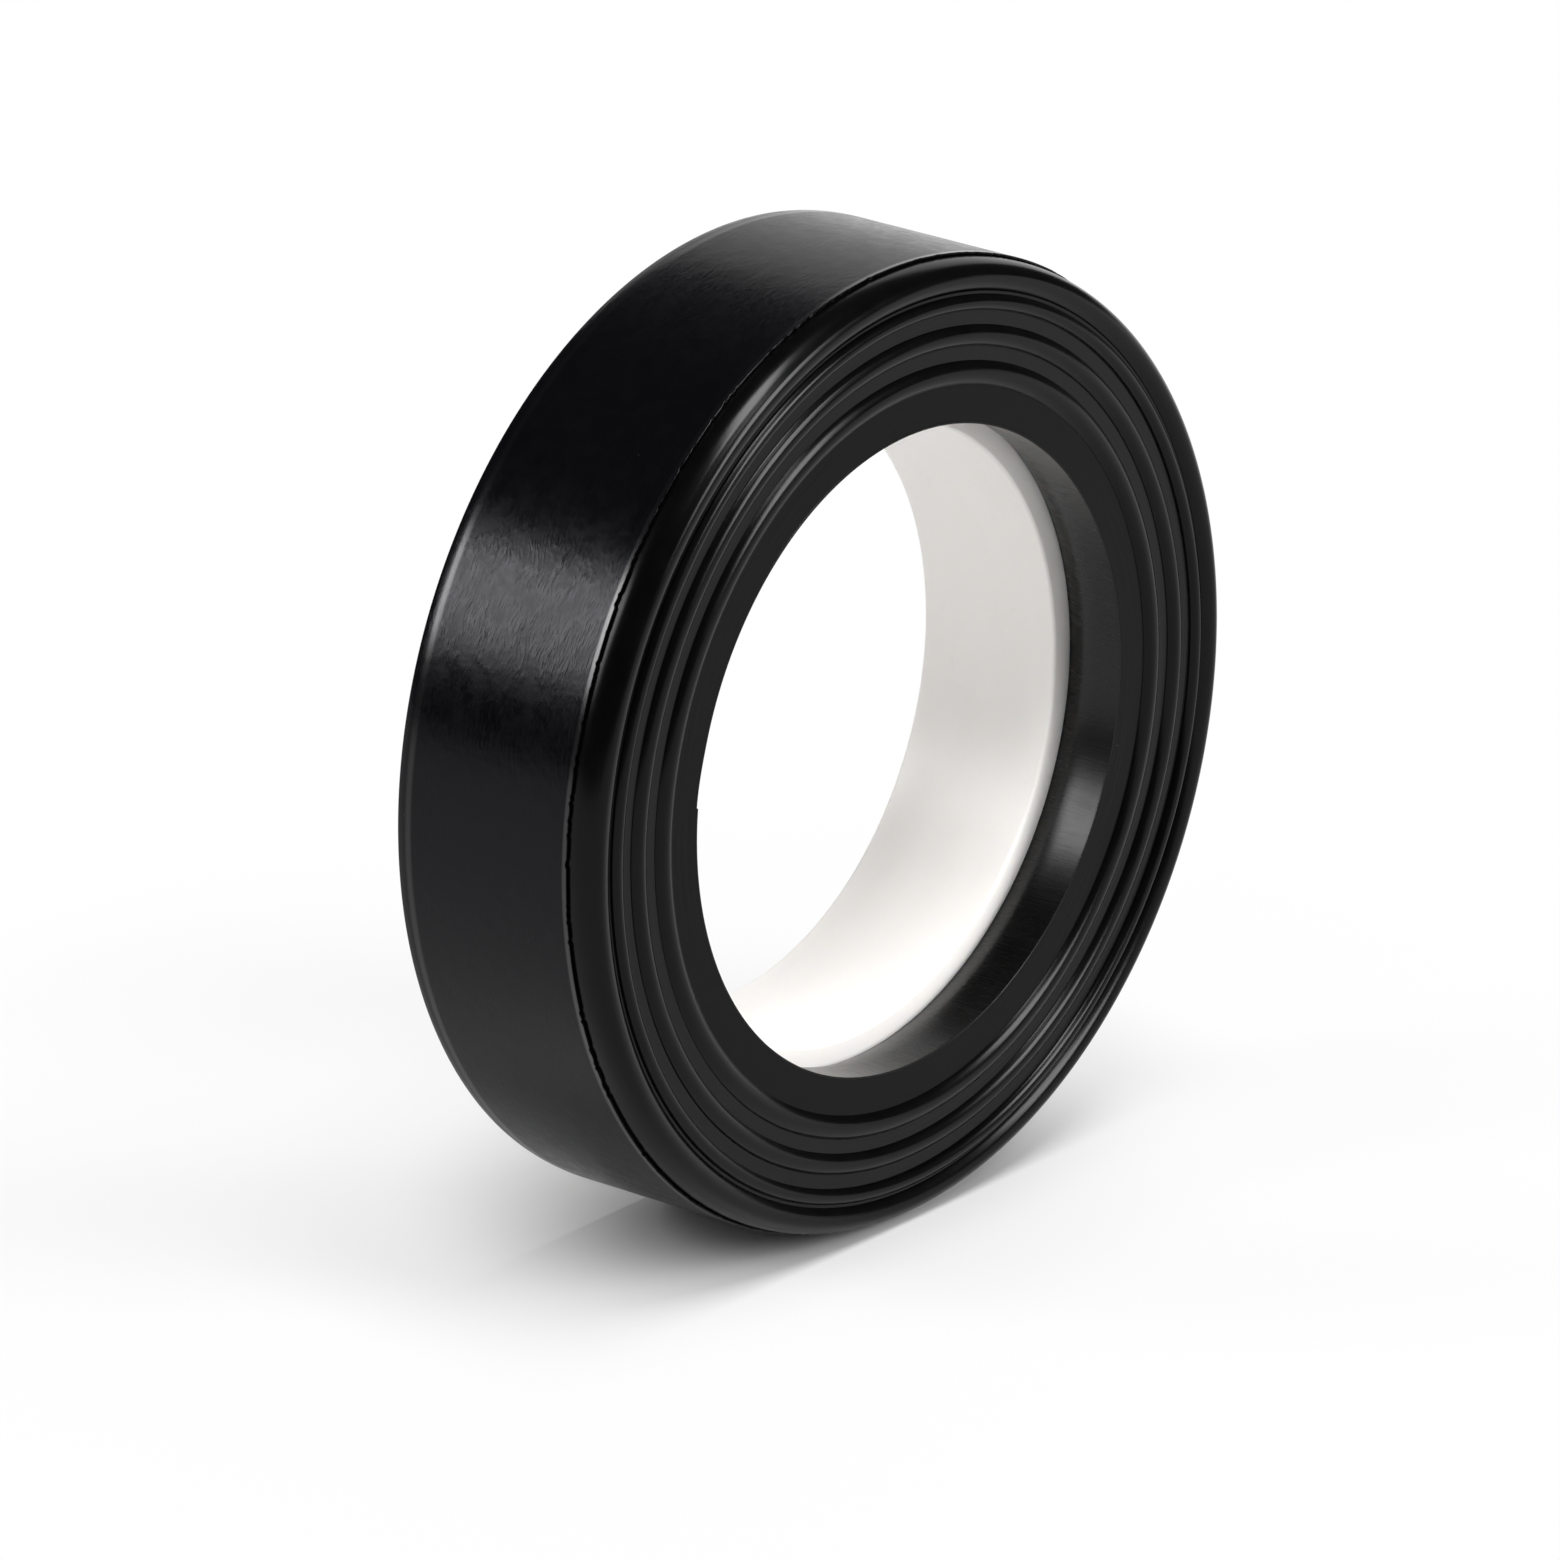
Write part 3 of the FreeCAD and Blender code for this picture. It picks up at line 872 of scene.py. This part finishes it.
class OuterStrip:
    """The strip's last turn: straight over the roll, with its back edge pressed down."""

    STEP = math.radians(0.4)
    BEND_POINTS = 10
    MIDDLE_POINTS = 8
    CUT_SHARES = np.array([0.0, 0.15, 0.4, 1.0])
    # Points close behind the front cut, so that the cut's shading stays narrow.
    BEHIND_CUT = np.array([1.0, 0.5, 0.25, 0.12, 0.06]) * MM
    # How far the adhesive stops short of the film's edges.
    ADHESIVE_SHORT = 0.03 * MM

    def __init__(self, sizes):
        self.sizes = sizes

    def nicks(self, angles):
        """How far the front edge is set back by nicks, which come in groups."""
        field = waves(71, 60, 420, angles) + 0.6 * waves(72, 9, 60, angles)
        return self.sizes.nick_depth * np.minimum(1, 3.0 * np.maximum(0, field - 0.12))[:, None]

    def section(self, angles, depths, narrower):
        """Radii and axial places of a layer between two depths under the strip's surface."""
        sizes = self.sizes
        nicks = self.nicks(angles)
        rows = np.ones_like(nicks)
        cut = self.CUT_SHARES * sizes.slit_round
        back, front = BACK - narrower, RIDGE_FRONT + sizes.edge_set_back + narrower + nicks
        pressed = np.linspace(sizes.slit_round, sizes.back_bend - narrower, self.BEND_POINTS)[1:]
        middle = np.linspace(
            BACK - 2 * sizes.back_bend, RIDGE_FRONT + 2 * sizes.edge_set_back, self.MIDDLE_POINTS
        )
        axials = np.hstack([
            rows * (back - np.concatenate([cut, pressed])), rows * middle,
            front + self.BEHIND_CUT, front + cut[::-1],
        ])
        bend_radius = sizes.back_bend / math.sin(sizes.back_slope)
        past_bend = np.maximum(0, axials - (BACK - sizes.back_bend))
        drop = bend_radius - np.sqrt(bend_radius ** 2 - past_bend ** 2)
        inset = edge_inset(np.minimum(back - axials, axials - front), sizes.slit_round)
        inset = inset * self.share(depths)
        outer = ROLL_OUTER - depths[0] - drop - inset
        inner = ROLL_OUTER - depths[1] - drop + inset
        return np.hstack([outer, inner[:, ::-1]]), np.hstack([axials, axials[:, ::-1]])

    def share(self, depths):
        """The part of the slit rounding that a layer of this thickness takes."""
        return min(1.0, 0.9 * (depths[1] - depths[0]) / (2 * self.sizes.slit_round))

    def stretch(self, context, name, layer, start, end, sink=None):
        """One stretch of a layer as a mesh; sink is how far its rows lie under their place."""
        angles = np.linspace(start, end, max(3, round((end - start) / self.STEP) + 1))
        depths = (0.0, FILM) if layer == "film" else (FILM, TURN)
        narrower = 0.0 if layer == "film" else self.ADHESIVE_SHORT
        radii, axials = self.section(angles, depths, narrower)
        if sink is not None:
            radii = radii - sink(angles)[:, None]
        finishes = ["satin_film", "slit_edges"] if layer == "film" else ["adhesive_coat"] * 2
        half = radii.shape[1] // 2
        edges = [*range(3), *range(half - 4, half + 3), *range(2 * half - 4, 2 * half)]
        made = loft(context, name, angles, radii, axials, False, finishes, edges)
        return made


class TAPEROLL_OT_outermost_turn(bpy.types.Operator):
    """Build the outermost turn, up to the line that the free end peels from"""

    bl_idname = "tape_roll.outermost_turn"
    bl_label = "Outermost Turn"

    CLIMB = math.radians(10)
    BEYOND_TIP = math.radians(0.25)
    # The strip goes under its own tip by this share of the step, so the two don't touch.
    SUNK_SHARE = 0.97

    def execute(self, context):
        strip = OuterStrip(context.scene.tape_roll_sizes)
        drop = ROLL_OUTER - WOUND_OUTER

        def sink(angles):
            return self.SUNK_SHARE * drop * (1 - soft_step((angles - TIP) / self.CLIMB))

        for layer in ("film", "adhesive"):
            made = strip.stretch(
                context, f"outermost_{layer}", layer,
                TIP + self.BEYOND_TIP, HINGES[0] + 2 * math.pi, sink,
            )
            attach(made, ROLL)
            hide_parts(f"outer_turn_{layer}")
        return {"FINISHED"}


class TAPEROLL_OT_free_end(bpy.types.Operator):
    """Build the free end in stretches that each lie across one hinge line"""

    bl_idname = "tape_roll.free_end"
    bl_label = "Free End"

    def on_surface(self, angle):
        """The point of the film's surface at an angle round the roll, halfway across."""
        return Vector((ROLL_OUTER * math.cos(angle), 0, ROLL_OUTER * math.sin(angle)))

    def execute(self, context):
        strip = OuterStrip(context.scene.tape_roll_sizes)
        middles = [hinge + SEGMENT / 2 for hinge in HINGES]
        borders = [HINGES[0], *middles, TIP]
        for layer in ("film", "adhesive"):
            for number, (start, end) in enumerate(zip(borders, borders[1:]), start=1):
                name = f"free_end_{layer}_stretch_{number}"
                made = strip.stretch(context, name, layer, start, end)
                if number > len(HINGES):
                    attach(made, CHAIN[-1])
                    continue
                CHAIN[number - 1]
                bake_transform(made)
                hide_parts(f"free_end_{layer}_{number}")
        return {"FINISHED"}


# ---------------------------------------------------------------- floor, lamps and camera


def direction(azimuth, elevation):
    """The unit vector towards a place round the roll; azimuth 0 is in front, 90 to the right."""
    a, e = math.radians(azimuth), math.radians(elevation)
    return Vector((math.sin(a) * math.cos(e), -math.cos(a) * math.cos(e), math.sin(e)))


class TAPEROLL_OT_stage(bpy.types.Operator):
    """Build the floor, the soft lamps and the camera"""

    bl_idname = "tape_roll.stage"
    bl_label = "Stage"

    # Each lamp: name, azimuth and elevation in degrees, distance, width, height, radiance.
    LAMPS = [
        ("overhead_softbox", -12, 79, 1.1, 0.34, 0.58, 20.0),
        ("front_softbox", 20, 24, 1.1, 0.36, 0.56, 17.0),
        ("upper_front_panel", 3, 52, 1.1, 0.30, 0.22, 7.0),
        ("rear_left_softbox", -134, 25, 1.1, 0.27, 0.38, 11.5),
        ("rear_panel", 131, 15, 1.3, 1.1, 0.95, 0.95),
    ]
    FLOOR_SIZE = 3.0
    # The room's light as the shiny black film mirrors it, and as matt surfaces get it.
    ROOM_LIGHT = 0.04
    ROOM_FILL = 0.16
    # The camera's azimuth and elevation in degrees and its distance, from the point it aims at.
    CAMERA_PLACE = (-50.47, 20.41, 0.8673)
    AIM_LEFT, AIM_DOWN = 2.48 * MM, 3.376 * MM
    SENSOR_WIDTH, LENS = 36, 324.1

    def add_floor(self, context):
        bpy.ops.mesh.primitive_grid_add(
            x_subdivisions=8, y_subdivisions=8, size=self.FLOOR_SIZE, location=(0, 0, cad_low.z)
        )
        floor = context.object
        floor.name = "studio_floor"
        floor.data.materials.append(finish_named(context, "studio_floor"))

    def add_lamp(self, context, name, azimuth, elevation, distance, width, height, radiance):
        lamp = bpy.data.lights.new(name, "AREA")
        lamp.shape = "RECTANGLE"
        lamp.size, lamp.size_y = width, height
        lamp.energy = radiance * math.pi * width * height
        made = bpy.data.objects.new(name, lamp)
        context.scene.collection.objects.link(made)
        towards = direction(azimuth, elevation)
        made.location = towards * distance
        made.rotation_euler = towards.to_track_quat("Z", "Y").to_euler()

    def add_camera(self, context):
        azimuth, elevation, distance = self.CAMERA_PLACE
        back = direction(azimuth, elevation)
        right = Vector((math.cos(math.radians(azimuth)), math.sin(math.radians(azimuth)), 0))
        up = back.cross(right)
        camera = bpy.data.cameras.new("camera")
        camera.sensor_width, camera.lens = self.SENSOR_WIDTH, self.LENS
        camera.clip_start, camera.clip_end = 0.01, 20
        made = bpy.data.objects.new("camera", camera)
        context.scene.collection.objects.link(made)
        aim = (cad_low + cad_high) / 2 - right * self.AIM_LEFT - up * self.AIM_DOWN
        made.location = aim + back * distance
        made.rotation_euler = back.to_track_quat("Z", "Y").to_euler()
        context.scene.camera = made

    def set_room(self, context):
        world = bpy.data.worlds.new("dim_room")
        world.use_nodes = True
        room = Nodes(world.node_tree)
        mirrored = room.node("ShaderNodeLightPath", output="Is Glossy Ray")
        strength = self.ROOM_FILL + (self.ROOM_LIGHT - self.ROOM_FILL) * mirrored
        light = room.node("ShaderNodeBackground", sockets={"Color": WHITE, "Strength": strength})
        room.node("ShaderNodeOutputWorld", sockets={"Surface": light})
        context.scene.world = world
        context.scene.view_settings.view_transform = "Standard"

    def execute(self, context):
        self.add_floor(context)
        for lamp in self.LAMPS:
            self.add_lamp(context, *lamp)
        self.add_camera(context)
        self.set_room(context)
        return {"FINISHED"}


# ---------------------------------------------------------------- panel, registering, main


OPERATORS = [
    TAPEROLL_OT_stage,
    TAPEROLL_OT_core,
    TAPEROLL_OT_innermost_turn,
    TAPEROLL_OT_windings,
    TAPEROLL_OT_outermost_turn,
    TAPEROLL_OT_free_end,
]


class TAPEROLL_PT_panel(bpy.types.Panel):
    """Lists the pieces of the roll"""

    bl_idname = "TAPEROLL_PT_panel"
    bl_label = "Tape Roll"
    bl_space_type = "VIEW_3D"
    bl_region_type = "UI"
    bl_category = "Tape Roll"

    def draw(self, context):
        for operator in OPERATORS:
            self.layout.operator(operator.bl_idname)
        for group in (context.scene.tape_roll_sizes, context.scene.tape_roll_colours):
            column = self.layout.column()
            for name in group.__annotations__:
                column.prop(group, name)


CLASSES = [TapeRollSizes, TapeRollColours, *OPERATORS, TAPEROLL_PT_panel]


def register():
    for each in CLASSES:
        bpy.utils.register_class(each)
    bpy.types.Scene.tape_roll_sizes = bpy.props.PointerProperty(type=TapeRollSizes)
    bpy.types.Scene.tape_roll_colours = bpy.props.PointerProperty(type=TapeRollColours)


def unregister():
    del bpy.types.Scene.tape_roll_colours
    del bpy.types.Scene.tape_roll_sizes
    for each in reversed(CLASSES):
        bpy.utils.unregister_class(each)


def main():
    register()
    for operator in OPERATORS:
        group, name = operator.bl_idname.split(".")
        getattr(getattr(bpy.ops, group), name)()


if __name__ == "__main__":
    main()
